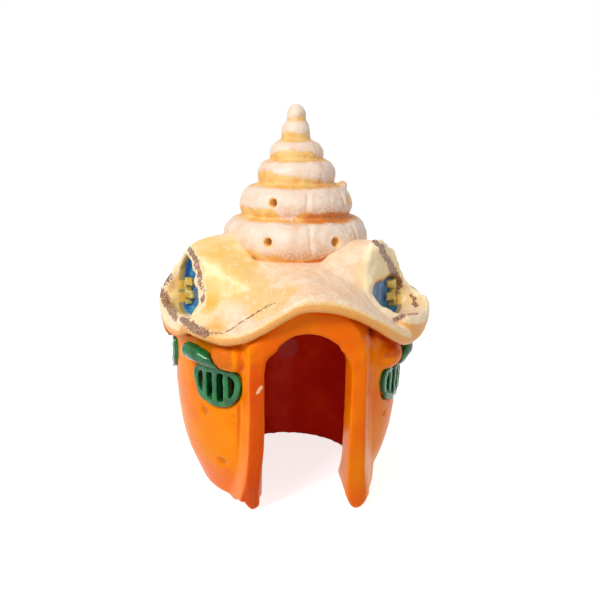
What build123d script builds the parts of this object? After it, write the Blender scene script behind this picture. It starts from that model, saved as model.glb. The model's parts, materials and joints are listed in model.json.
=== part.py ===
"""Bubbling aquarium ornament: a shell-roofed house that lets air bubbles out of its spire.

Millimetres, +Z up, the doorway faces -Y. The origin is on the base plane, under the spire's axis.
The house stands on the base plane, and the roof lifts off it along +Z.
Azimuths are in degrees from the doorway (-Y), positive towards +X.
"""

import os
from math import atan2, cos, degrees, hypot, radians, sin
from typing import NamedTuple

from build123d import *

os.makedirs("parts", exist_ok=True)

# Whole object
HEIGHT = 120.0

# Barrel wall: outside radius at each height, about an axis a little to one side of the spire's
BARREL_X = -2.4
BARREL_PROFILE = (
    (28.8, 0.0),
    (30.7, 5.0),
    (33.4, 12.0),
    (35.2, 20.0),
    (36.3, 30.0),
    (36.7, 42.0),
    (36.4, 55.0),
    (35.6, 72.0),
)
BASE_ROUND = 1.6
WALL = 5.3

# Ledge inside the barrel that the roof's collar stands on
LEDGE_Z = 52.0
LEDGE_WIDTH = 2.8
LEDGE_HEIGHT = 2.4

# Doorway tunnel and the thick porch arch round it
DOOR_X = 0.3
DOOR_HALF = 12.2
DOOR_TOP = 57.0
DOOR_ARCH = 1.065
DOOR_BACK = 12.0
PORCH_PROUD = 2.4
PORCH_FRONT = (41.0, 15.8, 64.5)
PORCH_REAR = (14.0, 25.0, 74.0)

# Windows: azimuth about the barrel's axis, height shift, side that the brow's fat end is on
WINDOWS = {
    "front_left": (-39.0, 0.0, -1),
    "side_left": (-88.0, 4.0, -1),
    "rear_left": (-140.0, 1.0, -1),
    "rear": (167.0, -4.0, 1),
    "side_right": (113.0, 0.0, 1),
    "front_right": (60.0, -3.0, 1),
}
WINDOW_OUTLINE = (
    (-8.5, 39.2),
    (-7.7, 43.9),
    (0.0, 45.2),
    (7.7, 43.9),
    (8.5, 39.2),
    (5.9, 34.9),
    (0.0, 33.2),
    (-5.9, 34.9),
)
WINDOW_FLOOR = 34.0
GRILLE_PROUD = 0.9
GRILLE_FIT = 0.05
GRILLE_RIM = 1.7
GRILLE_BAR = 1.5
GRILLE_PITCH = 3.9
BAR_COUNT = 3

# Brows: azimuth from the window's middle, radius, height and thickness radius along the roll
BROW_STATIONS = (
    (16.4, 38.5, 49.1, 1.1),
    (15.2, 38.6, 49.1, 2.3),
    (12.5, 38.8, 48.9, 2.9),
    (7.5, 39.1, 48.5, 2.8),
    (2.0, 38.8, 47.5, 2.4),
    (-3.5, 38.1, 46.3, 1.9),
    (-8.6, 37.5, 45.3, 1.5),
)
BUMP_AZ = -8.0
BUMP_CENTRE = (36.8, 48.8)
BUMP_RADII = (6.4, 3.8, 4.2)

# Roof skirt: height of the brim's lower edge round the azimuths
BRIM_LOW = (
    (0, 64.5),
    (12, 63.3),
    (24, 59.4),
    (37, 54.0),
    (48, 51.0),
    (60, 51.6),
    (80, 54.5),
    (100, 56.5),
    (118, 56.0),
    (135, 54.2),
    (152, 54.5),
    (172, 56.0),
    (192, 54.5),
    (210, 54.2),
    (228, 56.5),
    (248, 57.5),
    (268, 57.0),
    (288, 55.8),
    (304, 55.0),
    (318, 54.0),
    (328, 53.8),
    (337, 55.6),
    (346, 59.4),
    (354, 63.0),
)
BRIM_RADIUS = 43.5
SKIRT_TOP = 74.0
SKIRT_INNER = 22.0
SKIRT_OUTER = 40.5
SKIRT_RISE = 4.8
SKIRT_CURVE = 1.25
SKIRT_THICKNESS = 5.0
SKIRT_RADII = (17.0, 22.0, 26.0, 30.0, 34.0, 38.0, 41.0)
BRIM_ROLL = 0.75
LOFT_STEPS = 12
ROOF_GAP = 0.42

# Collar under the skirt that stands on the ledge, open at the doorway
COLLAR_CLEARANCE = 0.5
COLLAR_WALL = 2.5
COLLAR_OPEN_HALF = 17.0


class Dormer(NamedTuple):
    """Where a dormer stands, and how it departs from the common shape."""

    azimuth: float
    far_side: int
    ridge_lift: float
    lip_lift: float
    lip_reach: float
    pane_back: float


DORMERS = {
    "left": Dormer(-66.0, -1, 1.8, -1.5, -0.8, 31.5),
    "right": Dormer(52.0, 1, -1.8, -3.0, 0.0, 29.0),
    "rear": Dormer(175.0, 1, 0.0, -2.0, -1.7, 30.5),
}
# Hood sections: distance, half width, height of the ridge, share of the ridge lift
HOOD_SECTIONS = (
    (15.0, 9.8, 80.8, 1.0),
    (21.0, 10.6, 82.0, 1.0),
    (26.0, 11.2, 81.7, 1.0),
    (30.0, 11.2, 80.0, 0.5),
    (33.0, 10.8, 76.8, 0.1),
    (35.4, 9.8, 73.3, 0.0),
)
HOOD_FLOOR = 53.8
HOOD_ARCH = 1.25
ROOM_RADIUS = 26.5
ROOM_TOP = 66.0
PANE_THICKNESS = 1.4
SILL_Z = 58.6
DORMER_HALF = 7.4
DORMER_TOP = 71.0
DORMER_ARCH = 1.1
DORMER_FIT = 0.05
SLAT_DEPTH = 2.6
SLAT_Z = (60.9, 64.8)
SLAT_HEIGHT = 2.7
SLAT_LENGTH = 7.4
JAMB_WIDTH = 1.8

# Lips: curled bowls in front of the dormers
LIP_CENTRE = (36.5, 65.0)
LIP_RADII = (11.6, 9.6, 12.0)
BOWL_CENTRE = (36.8, 65.5)
BOWL_RADII = (9.4, 7.0, 7.0)
LIP_RIM_LOW = (46.5, 62.8)
LIP_RIM_SLOPE = 31.0
LIP_INNER = 31.0

# Spire: crease radius and height, then for each whorl the shoulder and the belly under its top crease
CREASES = (
    (0.0, HEIGHT),
    (2.5, 115.2),
    (4.4, 109.2),
    (7.7, 103.1),
    (11.4, 95.5),
    (16.3, 85.8),
    (21.2, 73.8),
)
SHOULDERS = ((2.0, 119.2), (4.0, 113.9), (7.1, 107.6), (11.0, 101.8), (15.9, 94.0), (21.3, 83.9))
BELLIES = ((2.85, 117.3), (4.65, 111.3), (8.25, 105.0), (12.3, 98.9), (17.7, 90.2), (23.1, 79.2))
SPIRE_FOOT = 73.0
SPIRE_HOLLOW = ((18.0, 73.0), (13.4, 85.9), (8.9, 95.5), (5.3, 103.0), (2.0, 109.0))
ROOF_THROAT = 17.0
PORTS = (
    (79.9, (-26.0, 26.5, 90.0, 154.0, -154.0, -90.0)),
    (90.9, (-28.0, 62.0, 152.0, -118.0)),
)
PORT_RADIUS = 1.35

# Air line
INLET_AZ = -148.0
INLET_Z = 14.0
RISER_BACK = 22.0
SPOT_FACE = 31.6
SPOT_RADIUS = 6.0
GROMMET_HOLE = 4.6
GROMMET_FLANGE = (5.8, 1.5)
INLET_TUBE = 3.0
INLET_FLANGE = (5.2, 1.5)
TAIL_RADIUS = 2.25
TAIL_PLAIN = 7.5
TAIL_LEAD = 1.5
TIP_RADIUS = 1.8
TAIL_BORE = 1.3
ELBOW_RADIUS = 4.4
ELBOW_BELOW = 4.5
ELBOW_ABOVE = 7.0
RISER_RADIUS = 3.0
RISER_BORE = 2.0
RISER_FOOT = 16.0
RISER_BEND = 8.0
RISER_RUN_Z = 54.0
RISER_TOP = 67.0
CLIP_Z = 32.0
CLIP_HEIGHT = 5.0
CLIP_RADIUS = 4.8
CLIP_ARM = 4.0
HOLDER_RADIUS = 4.4
HOLDER_FOOT = 62.5
CUP_RADIUS = 7.5
CUP_FLOOR = 1.2
CUP_WALL = 0.9
CUP_DEPTH = 3.3
STONE_HEIGHT = 12.0
STONE_ROUND = 1.2


def about_spire(shape, azimuth):
    """Turn a shape modelled at the doorway side to an azimuth about the spire's axis."""
    return Rot(0, 0, azimuth) * shape


def about_barrel(shape, azimuth):
    """Turn a shape modelled at the doorway side to an azimuth about the barrel's axis."""
    return Pos(BARREL_X, 0, 0) * Rot(0, 0, azimuth) * shape


def facing(distance):
    """Sketch plane that faces the doorway side, at a distance from the axis."""
    return Plane.XZ.offset(distance)


def ellipsoid(radii, y, z):
    """Ellipsoid with half sizes along X, Y and Z."""
    return Pos(0, -y, z) * scale(Sphere(1.0), by=radii)


def arch_face(distance, half, bottom, top, ratio):
    """Arch-shaped face: straight sides and a rounded head."""
    rise = half * ratio
    spring = top - rise
    head = [(half * cos(radians(a)), spring + rise * sin(radians(a))) for a in range(0, 181, 30)]
    sides = Polyline(head[-1], (-half, bottom), (half, bottom), head[0])
    crown = Spline(*head, tangents=[(0, 1), (0, -1)])
    return facing(distance) * make_face(sides + crown)


def arch_block(near, far, half, bottom, top, ratio):
    """Straight arch-shaped block from one distance to another."""
    return extrude(arch_face(near, half, bottom, top, ratio), amount=far - near)


# Barrel


def barrel_outer(proud=0.0):
    """Solid of revolution inside the barrel's outside wall, grown by proud."""
    points = [(r + proud, z) for r, z in BARREL_PROFILE]
    wall = Spline(*points)
    rest = Polyline(points[-1], (0, points[-1][1]), (0, 0), points[0])
    return Pos(BARREL_X, 0, 0) * revolve(Plane.XZ * make_face(wall + rest), Axis.Z)


def barrel_inner():
    """Room inside the barrel, without the ledge."""
    points = [(r - WALL, z) for r, z in BARREL_PROFILE]
    wall = Spline(*points)
    rest = Polyline(points[-1], (0, points[-1][1]), (0, 0), points[0])
    return Pos(BARREL_X, 0, 0) * revolve(Plane.XZ * make_face(wall + rest), Axis.Z)


def collar_radius():
    """Outside radius of the roof's collar."""
    return BARREL_PROFILE[-2][0] - WALL - COLLAR_CLEARANCE


def ledge():
    """Ring that stands in from the wall under the collar."""
    outer = BARREL_PROFILE[-2][0] - WALL + 1.0
    inner = outer - 1.0 - LEDGE_WIDTH
    low = LEDGE_Z - LEDGE_HEIGHT
    section = Polyline(
        (outer, LEDGE_Z), (inner, LEDGE_Z), (inner, low), (outer, low - LEDGE_WIDTH - 1.0), close=True
    )
    return Pos(BARREL_X, 0, 0) * revolve(Plane.XZ * make_face(section), Axis.Z)


def porch_front():
    """Space behind the porch's front, which leans like the barrel but stays flat across."""
    points = [(r + PORCH_PROUD, z) for r, z in BARREL_PROFILE]
    rest = Polyline(points[-1], (0, points[-1][1]), (0, 0), points[0])
    side = Plane.YZ * make_face(Spline(*[(-y, z) for y, z in points]) + mirror(rest, Plane.YZ))
    return extrude(side, amount=2 * PORCH_REAR[1], both=True)


def porch():
    """Thick arch that stands out round the doorway."""
    front, half, top = PORCH_FRONT
    rear, rear_half, rear_top = PORCH_REAR
    block = loft(
        [arch_face(rear, rear_half, 0, rear_top, DOOR_ARCH), arch_face(front, half, 0, top, DOOR_ARCH)]
    )
    return Pos(DOOR_X, 0, 0) * block & porch_front()


def doorway():
    """Tunnel through the front wall."""
    tunnel = arch_block(DOOR_BACK, 2 * PORCH_FRONT[0], DOOR_HALF, -5, DOOR_TOP, DOOR_ARCH)
    return Pos(DOOR_X, 0, 0) * tunnel


def window_face(inset=0.0):
    """Shield-shaped window outline, at the recess floor."""
    half, middle = WINDOW_OUTLINE[4]
    drop = middle - WINDOW_OUTLINE[6][1]
    across = 1 - inset / half
    down = 1 - inset / drop
    points = [(x * across, middle + (z - middle) * down) for x, z in WINDOW_OUTLINE]
    return facing(WINDOW_FLOOR) * make_face(Spline(*points, periodic=True))


def window_recess(azimuth, lift):
    """Pocket in the wall for one grille."""
    return about_barrel(Pos(0, 0, lift) * extrude(window_face(), amount=12), azimuth)


def bump(azimuth, lift, side):
    """Swelling of the wall above the doorway side of a window."""
    radius, z = BUMP_CENTRE
    return about_barrel(ellipsoid(BUMP_RADII, radius, z + lift), azimuth + side * BUMP_AZ)


def inlet_holes():
    """Hole and flat spot face in the wall for the grommet."""
    hole = extrude(facing(RISER_BACK) * Circle(GROMMET_HOLE), amount=20)
    spot = extrude(facing(SPOT_FACE) * Circle(SPOT_RADIUS), amount=10)
    return about_barrel(Pos(0, 0, INLET_Z) * (hole + spot), INLET_AZ)


def house_body(clearance):
    """Barrel with porch, window recesses, bumps and ledge, cut clear of the roof."""
    shell = barrel_outer() + porch()
    for azimuth, lift, side in WINDOWS.values():
        shell += bump(azimuth, lift, side)
    shell -= barrel_inner()
    shell += ledge() & barrel_outer(-WALL / 2)
    shell -= doorway()
    for azimuth, lift, side in WINDOWS.values():
        shell -= window_recess(azimuth, lift)
    shell -= inlet_holes()
    return shell - clearance - Pos(0, 0, -ROOF_GAP) * round_loft(skirt_profile)


def grille_slots():
    """Gaps between the bars, as prisms through the grille."""
    slots = window_face(GRILLE_RIM)
    for i in range(BAR_COUNT):
        x = (i - (BAR_COUNT - 1) / 2) * GRILLE_PITCH
        slots -= facing(WINDOW_FLOOR) * Pos(x, 39) * Rectangle(GRILLE_BAR, 20)
    return extrude(slots, amount=12)


def window_grille(azimuth, lift):
    """Green frame with upright bars, its back flat on the recess floor."""
    plate = extrude(window_face(GRILLE_FIT), amount=12) - grille_slots()
    return about_barrel(Pos(0, 0, lift) * plate, azimuth) & barrel_outer(GRILLE_PROUD)


def brow_points(lift, side):
    """Centre points and thickness radii along one brow."""
    for angle, radius, z, thick in BROW_STATIONS:
        turn = radians(side * angle)
        yield Vector(radius * sin(turn), -radius * cos(turn), z + lift), thick


def window_brow(azimuth, lift, side, grille, clearance):
    """Tapering roll over a window, lying on the wall and the grille."""
    stations = list(brow_points(lift, side))
    sections = []
    for i, (point, thick) in enumerate(stations):
        before = stations[max(i - 1, 0)][0]
        after = stations[min(i + 1, len(stations) - 1)][0]
        sections.append(Plane(origin=point, z_dir=after - before) * Circle(thick))
    roll = about_barrel(loft(sections), azimuth)
    return roll - barrel_outer() - bump(azimuth, lift, side) - grille - clearance


# Roof


def brim_low(azimuth):
    """Height of the brim's lower edge, a smooth curve through the stated points."""
    count = len(BRIM_LOW)
    azimuth %= 360
    i = max(k for k in range(count) if BRIM_LOW[k][0] <= azimuth)
    span = [BRIM_LOW[(i + k) % count] for k in (-1, 0, 1, 2)]
    turns = [360 * ((i + k) // count) for k in (-1, 0, 1, 2)]
    a = [point[0] + turn for point, turn in zip(span, turns)]
    z = [point[1] for point in span]
    width = a[2] - a[1]
    t = (azimuth - a[1]) / width
    slope = (z[2] - z[0]) / (a[2] - a[0]) * width
    next_slope = (z[3] - z[1]) / (a[3] - a[1]) * width
    straight = (2 * t**3 - 3 * t**2 + 1) * z[1] + (3 * t**2 - 2 * t**3) * z[2]
    return straight + (t**3 - 2 * t**2 + t) * slope + (t**3 - t**2) * next_slope


def skirt_z(radius, azimuth):
    """Height of the skirt's upper surface."""
    drop = SKIRT_TOP - brim_low(azimuth) - SKIRT_RISE
    t = max(0.0, (radius - SKIRT_INNER) / (SKIRT_OUTER - SKIRT_INNER))
    return SKIRT_TOP - drop * t**SKIRT_CURVE


def skirt_profile(azimuth):
    """Closed section of the skirt and its rolled brim, as radius and height."""
    upper = [(r, skirt_z(r, azimuth)) for r in SKIRT_RADII]
    lower = [(r, z - SKIRT_THICKNESS) for r, z in reversed(upper)]
    edge = upper[-1][1]
    side = BRIM_RADIUS - BRIM_ROLL
    roll = [
        (side, edge - SKIRT_THICKNESS * 0.18),
        (BRIM_RADIUS, edge - SKIRT_THICKNESS * 0.5),
        (side, edge - SKIRT_THICKNESS * 0.82),
    ]
    return Spline(*upper, *roll, *lower) + Line(lower[-1], upper[0])


def space_profile(azimuth, lift):
    """Closed section of the space above the skirt's upper surface moved by lift."""
    lower = [(r, skirt_z(r, azimuth) + lift) for r in SKIRT_RADII]
    end = (BRIM_RADIUS + 5, lower[-1][1])
    return Spline(*lower) + Polyline(lower[-1], end, (end[0], HEIGHT), (lower[0][0], HEIGHT), lower[0])


def round_loft(profile):
    """Solid whose radial section changes with azimuth, lofted as two halves."""
    halves = []
    for start in (0, 180):
        faces = []
        for i in range(LOFT_STEPS + 1):
            azimuth = start + i * 180 / LOFT_STEPS
            a = radians(azimuth)
            plane = Plane(origin=(0, 0, 0), x_dir=(sin(a), -cos(a), 0), z_dir=(-cos(a), -sin(a), 0))
            faces.append(plane * make_face(profile(azimuth)))
        halves.append(loft(faces))
    return halves[0] + halves[1]


def space_above(lift):
    """Space above the skirt's upper surface moved by lift."""
    return round_loft(lambda azimuth: space_profile(azimuth, lift))


def hood(ridge, grow=0.0):
    """Arched hood from the spire out to a dormer's opening."""
    faces = []
    for distance, half, top, share in HOOD_SECTIONS:
        height = top + share * ridge + grow
        faces.append(arch_face(distance, half + grow, HOOD_FLOOR - grow, height, HOOD_ARCH))
    return loft(faces)


def lip(dormer, grow=0.0):
    """Curled lip in front of a dormer, before its bowl is hollowed."""
    radii = tuple(radius + grow for radius in LIP_RADII)
    body = ellipsoid(radii, *LIP_CENTRE)
    u, z = LIP_RIM_LOW
    above = Pos(0, -u, z) * Rot(LIP_RIM_SLOPE, 0, 0) * Pos(0, 0, 20) * Box(60, 80, 40)
    inside = Pos(0, 0, 60) * Box(60, 2 * LIP_INNER, 80)
    return Pos(0, -dormer.lip_reach, dormer.lip_lift) * (body - above - inside)


def dormer_hollow(dormer):
    """Arched opening with its bowl in front."""
    end = LIP_CENTRE[0]
    opening = arch_block(dormer.pane_back, end, DORMER_HALF, SILL_Z, DORMER_TOP, DORMER_ARCH)
    bowl = ellipsoid(BOWL_RADII, *BOWL_CENTRE)
    return opening + Pos(0, -dormer.lip_reach, dormer.lip_lift) * bowl


def collar():
    """Ring under the skirt that stands on the ledge."""
    outer = collar_radius()
    height = SKIRT_TOP - LEDGE_Z - 2
    base = (Align.CENTER, Align.CENTER, Align.MIN)
    ring = Cylinder(outer, height, align=base) - Cylinder(outer - COLLAR_WALL, height, align=base)
    gap = Pos(DOOR_X - BARREL_X, -outer, 0) * Box(2 * COLLAR_OPEN_HALF, 2 * outer, 3 * height)
    return Pos(BARREL_X, 0, LEDGE_Z) * (ring - gap)


def roof_mantle(spire_envelope):
    """Skirt with its hoods, lips and collar."""
    room = Pos(0, 0, ROOM_TOP) * Cylinder(ROOM_RADIUS, 40, align=(Align.CENTER, Align.CENTER, Align.MAX))
    mantle = round_loft(skirt_profile)
    mantle += collar() - space_above(-1.0)
    for dormer in DORMERS.values():
        mantle += about_spire(hood(dormer.ridge_lift) - room + lip(dormer), dormer.azimuth)
    for dormer in DORMERS.values():
        mantle -= about_spire(dormer_hollow(dormer), dormer.azimuth)
    mantle -= spire_envelope
    return mantle - Pos(0, 0, 70) * Cylinder(ROOF_THROAT, 40)


def roof_clearance():
    """Space that the roof needs over the house, with its gap."""
    space = space_above(-SKIRT_THICKNESS - ROOF_GAP)
    for dormer in DORMERS.values():
        taken = hood(dormer.ridge_lift, ROOF_GAP) + lip(dormer, ROOF_GAP)
        space += about_spire(taken, dormer.azimuth)
    return space


def dormer_pane(dormer):
    """Blue pane against the back of a dormer's opening."""
    half = DORMER_HALF - DORMER_FIT
    top = DORMER_TOP - DORMER_FIT
    back = dormer.pane_back
    pane = arch_block(back, back + PANE_THICKNESS, half, SILL_Z, top, DORMER_ARCH)
    return about_spire(pane, dormer.azimuth)


def dormer_slats(dormer):
    """Jamb strip with two slats, on the pane's face."""
    side = dormer.far_side
    front = dormer.pane_back + PANE_THICKNESS
    half = DORMER_HALF - DORMER_FIT
    room = arch_block(front, front + SLAT_DEPTH, half, SILL_Z, DORMER_TOP - DORMER_FIT, DORMER_ARCH)
    centre = front + SLAT_DEPTH / 2
    strip = Pos(side * (half - JAMB_WIDTH / 2), -centre, SILL_Z + 5) * Box(JAMB_WIDTH, SLAT_DEPTH, 20)
    for z in SLAT_Z:
        x = side * (half - SLAT_LENGTH / 2)
        strip += Pos(x, -centre, z + SLAT_HEIGHT / 2) * Box(SLAT_LENGTH, SLAT_DEPTH, SLAT_HEIGHT)
    return about_spire(strip & room, dormer.azimuth)


# Spire


def spire_outline():
    """Outside profile of the whorls, from the tip down to the foot."""
    pieces = []
    for top, shoulder, belly, bottom in zip(CREASES, SHOULDERS, BELLIES, CREASES[1:]):
        pieces.append(Spline(top, shoulder, belly, bottom))
    return pieces


def spire_envelope():
    """Solid inside the spire's outside surface."""
    foot = CREASES[-1]
    rest = Polyline(foot, (foot[0], SPIRE_FOOT), (0, SPIRE_FOOT), CREASES[0])
    outline = Curve() + spire_outline() + rest
    return revolve(Plane.XZ * make_face(outline), Axis.Z)


def spire(envelope):
    """Hollow whorled spire with its bubble ports."""
    tip = (0, SPIRE_HOLLOW[-1][1] + 1)
    inside = Polyline(*SPIRE_HOLLOW, tip, (0, SPIRE_FOOT), close=True)
    body = envelope - revolve(Plane.XZ * make_face(inside), Axis.Z)
    for z, azimuths in PORTS:
        port = extrude(facing(1) * Pos(0, z) * Circle(PORT_RADIUS), amount=30)
        for azimuth in azimuths:
            body -= about_spire(port, azimuth)
    return body


# Air line


def along_inlet(radius, near, far):
    """Round bar along the inlet's axis, from one distance to another."""
    return extrude(facing(near) * Circle(radius), amount=far - near)


def inlet_grommet():
    """Soft ring that seals the inlet in the wall."""
    radius, thickness = GROMMET_FLANGE
    sleeve = along_inlet(GROMMET_HOLE, SPOT_FACE - 3.4, SPOT_FACE)
    flange = along_inlet(radius, SPOT_FACE, SPOT_FACE + thickness)
    ring = sleeve + flange - along_inlet(INLET_TUBE, 20, 40)
    return about_barrel(Pos(0, 0, INLET_Z) * ring, INLET_AZ)


def airline_inlet():
    """Elbow with a plain tail, tapered at its tip, that the air hose pushes onto."""
    seat = SPOT_FACE + GROMMET_FLANGE[1]
    radius, thickness = INLET_FLANGE
    start = seat + thickness
    plain = start + TAIL_PLAIN
    end = plain + TAIL_LEAD
    body = along_inlet(INLET_TUBE, RISER_BACK, seat) + along_inlet(radius, seat, start)
    body += along_inlet(TAIL_RADIUS, start, plain)
    body += loft([facing(plain) * Circle(TAIL_RADIUS), facing(end) * Circle(TIP_RADIUS)])
    height = ELBOW_BELOW + ELBOW_ABOVE
    elbow = Cylinder(ELBOW_RADIUS, height, align=(Align.CENTER, Align.CENTER, Align.MIN))
    body += Pos(0, -RISER_BACK, -ELBOW_BELOW) * elbow
    body -= along_inlet(TAIL_BORE, RISER_BACK, end + 1)
    base = (Align.CENTER, Align.CENTER, Align.MIN)
    body -= Pos(0, -RISER_BACK, RISER_FOOT - INLET_Z) * Cylinder(RISER_RADIUS, 20, align=base)
    body -= Pos(0, -RISER_BACK, -TAIL_BORE) * Cylinder(RISER_BORE, 10, align=base)
    return about_barrel(Pos(0, 0, INLET_Z) * body, INLET_AZ)


def riser_place():
    """Distance and azimuth of the riser from the spire's axis."""
    x = BARREL_X + RISER_BACK * sin(radians(INLET_AZ))
    y = -RISER_BACK * cos(radians(INLET_AZ))
    return hypot(x, y), degrees(atan2(x, -y))


def riser_pipe():
    """Stiff pipe that climbs the wall and turns in under the spire."""
    reach, azimuth = riser_place()
    diagonal = RISER_BEND * cos(radians(45))
    low = RISER_RUN_Z - RISER_BEND
    high = RISER_RUN_Z + RISER_BEND
    path = Line((0, -reach, RISER_FOOT), (0, -reach, low))
    first = (0, -reach + RISER_BEND - diagonal, low + diagonal)
    path += ThreePointArc((0, -reach, low), first, (0, -reach + RISER_BEND, RISER_RUN_Z))
    path += Line((0, -reach + RISER_BEND, RISER_RUN_Z), (0, -RISER_BEND, RISER_RUN_Z))
    second = (0, -RISER_BEND + diagonal, high - diagonal)
    path += ThreePointArc((0, -RISER_BEND, RISER_RUN_Z), second, (0, 0, high))
    path += Line((0, 0, high), (0, 0, RISER_TOP))
    section = Pos(0, -reach, RISER_FOOT) * (Circle(RISER_RADIUS) - Circle(RISER_BORE))
    return about_spire(sweep(section, path=path), azimuth)


def riser_clip():
    """Ring on an arm that holds the riser to the wall."""
    ring = Cylinder(CLIP_RADIUS, CLIP_HEIGHT) - Cylinder(RISER_RADIUS, 2 * CLIP_HEIGHT)
    arm = Pos(0, -(CLIP_RADIUS + RISER_RADIUS) / 2 - 10, 0) * Box(CLIP_ARM, 20, CLIP_HEIGHT)
    clip = Pos(0, -RISER_BACK, CLIP_Z) * (ring + arm)
    return about_barrel(clip, INLET_AZ) & barrel_inner()


def air_stone_holder():
    """Cup on the riser's top that the air stone sits in."""
    base = (Align.CENTER, Align.CENTER, Align.MIN)
    neck = Pos(0, 0, HOLDER_FOOT) * Cylinder(HOLDER_RADIUS, RISER_TOP - HOLDER_FOOT, align=base)
    cup = Pos(0, 0, RISER_TOP) * Cylinder(CUP_RADIUS, CUP_FLOOR + CUP_DEPTH, align=base)
    body = neck + cup
    body -= Pos(0, 0, HOLDER_FOOT) * Cylinder(RISER_RADIUS, RISER_TOP - HOLDER_FOOT, align=base)
    body -= Pos(0, 0, HOLDER_FOOT) * Cylinder(RISER_BORE, 10, align=base)
    body -= Pos(0, 0, RISER_TOP + CUP_FLOOR) * Cylinder(CUP_RADIUS - CUP_WALL, 10, align=base)
    return body


def air_stone():
    """Porous stone with a rounded top."""
    base = (Align.CENTER, Align.CENTER, Align.MIN)
    stone = Cylinder(CUP_RADIUS - CUP_WALL, STONE_HEIGHT, align=base)
    top = stone.edges().sort_by(Axis.Z)[-1]
    return Pos(0, 0, RISER_TOP + CUP_FLOOR) * fillet(top, STONE_ROUND)


def save(shape, node):
    """Write one node's file."""
    export_step(shape.solid(), f"parts/{node}.step")


clearance = roof_clearance()
house = house_body(clearance)
save(house, "house_body")
for name, (azimuth, lift, side) in WINDOWS.items():
    grille = window_grille(azimuth, lift)
    save(grille, f"window_grille_{name}")
    save(window_brow(azimuth, lift, side, grille, clearance), f"window_brow_{name}")

envelope = spire_envelope()
save(roof_mantle(envelope), "roof_mantle")
save(spire(envelope), "shell_spire")
for name, dormer in DORMERS.items():
    save(dormer_pane(dormer), f"dormer_pane_{name}")
    save(dormer_slats(dormer), f"dormer_slats_{name}")

save(inlet_grommet(), "inlet_grommet")
save(airline_inlet(), "airline_inlet")
save(riser_pipe(), "riser_pipe")
save(riser_clip(), "riser_clip")
save(air_stone_holder(), "air_stone_holder")
save(air_stone(), "air_stone")
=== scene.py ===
"""Looks of a bubbling aquarium ornament: a hand-painted gourd house under a seashell roof."""

import itertools
import json
import math

import bpy
import numpy as np
from mathutils import Matrix, Vector

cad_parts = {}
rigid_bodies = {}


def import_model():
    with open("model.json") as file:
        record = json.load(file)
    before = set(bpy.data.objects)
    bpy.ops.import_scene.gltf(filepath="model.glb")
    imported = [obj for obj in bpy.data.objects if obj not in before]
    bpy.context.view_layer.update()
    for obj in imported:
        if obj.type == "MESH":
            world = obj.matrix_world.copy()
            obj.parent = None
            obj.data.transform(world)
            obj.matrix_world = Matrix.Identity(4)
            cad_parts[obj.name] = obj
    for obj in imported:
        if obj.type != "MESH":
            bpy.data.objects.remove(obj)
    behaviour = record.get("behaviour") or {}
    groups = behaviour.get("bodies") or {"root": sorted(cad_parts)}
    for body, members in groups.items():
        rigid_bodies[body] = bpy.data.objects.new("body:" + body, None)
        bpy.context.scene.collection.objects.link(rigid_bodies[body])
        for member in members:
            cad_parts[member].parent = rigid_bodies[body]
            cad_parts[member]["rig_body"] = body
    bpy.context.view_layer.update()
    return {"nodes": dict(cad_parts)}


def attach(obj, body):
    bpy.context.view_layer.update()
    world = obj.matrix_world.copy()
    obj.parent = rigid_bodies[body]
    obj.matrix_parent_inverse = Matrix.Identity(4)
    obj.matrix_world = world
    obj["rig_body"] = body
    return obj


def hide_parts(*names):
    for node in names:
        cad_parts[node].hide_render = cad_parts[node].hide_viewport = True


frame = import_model()

# Lengths are in mm and angles in degrees, unless a line says otherwise
MM = 0.001
CAMERA_PLACE = Vector((-20.81, -214.59, 108.63)) * MM
CAMERA_PITCH = 13.255
CAMERA_HEADING = 6.0
CAMERA_ROLL = 0.6
CAMERA_LENS = 40.38
CAMERA_SENSOR = 36
CAMERA_NEAR = 0.01  # m

# Lamps: place and aim in m, size in m, power in W, tint
LAMPS = {
    "key_light": ((-0.28, -0.34, 0.42), (0, 0, 0.06), 0.2, 2.15, (1.0, 0.98, 0.95)),
    "fill_light": ((0.45, -0.3, 0.2), (0, 0, 0.06), 0.4, 0.3, (0.97, 0.98, 1.0)),
}
FLOOR_HALF = 3  # m
FLOOR_DROP = 0.0002  # m, keeps the feet clear of it
FLOOR_GREY = 0.8
FLOOR_GLOW = 0.78  # added to the floor where it is seen, mirrored or looked through
WORLD_LIGHT = 0.36  # what the world gives as light
WORLD_GLOW = 0.64  # added to it where the world is seen, mirrored or looked through

BARREL_X = -2.4
DOOR_X = 0.3
PORCH_FRONT = 31.2  # how far forward the porch's front is at the floor
PORCH_LEAN = 0.37  # how far it leans forward for each mm up
# Each dormer's azimuth, and how far out its pane's face is
DORMERS = {"left": -66.0, "right": 52.0, "rear": 175.0}
PANE_FACES = {"left": 32.9, "right": 30.4, "rear": 31.9}
# The brim's lower edge: azimuth and height
BRIM_LOW = (
    (0, 64.5), (12, 63.3), (24, 59.4), (37, 54.0), (48, 51.0), (60, 51.6), (80, 54.5), (100, 56.5),
    (118, 56.0), (135, 54.2), (152, 54.5), (172, 56.0), (192, 54.5), (210, 54.2), (228, 56.5), (248, 57.5),
    (268, 57.0), (288, 55.8), (304, 55.0), (318, 54.0), (328, 53.8), (337, 55.6), (346, 59.4), (354, 63.0),
)
BRIM_ROLL = 2.5
BRIM_REACH = 43.2  # past this radius the brim is pressed back in
SKIRT_TOP = 74.0
SKIRT_FROM = 17.0  # radii between which the skirt is laid
SKIRT_TO = 41.0
SKIRT_INNER = 22.0  # radii between which it falls
SKIRT_OUTER = 40.5
SKIRT_RISE = 4.8
SKIRT_THICKNESS = 5.0
SKIRT_AT_SILL = (57.0, 54.0)  # its upper and lower heights under a dormer's window
COLLAR = (30.6, 28.1, 52.0, 62.0)  # outer and inner radius, foot and top
COLLAR_FROM = 36  # azimuth of one side of its opening at the door
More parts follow.
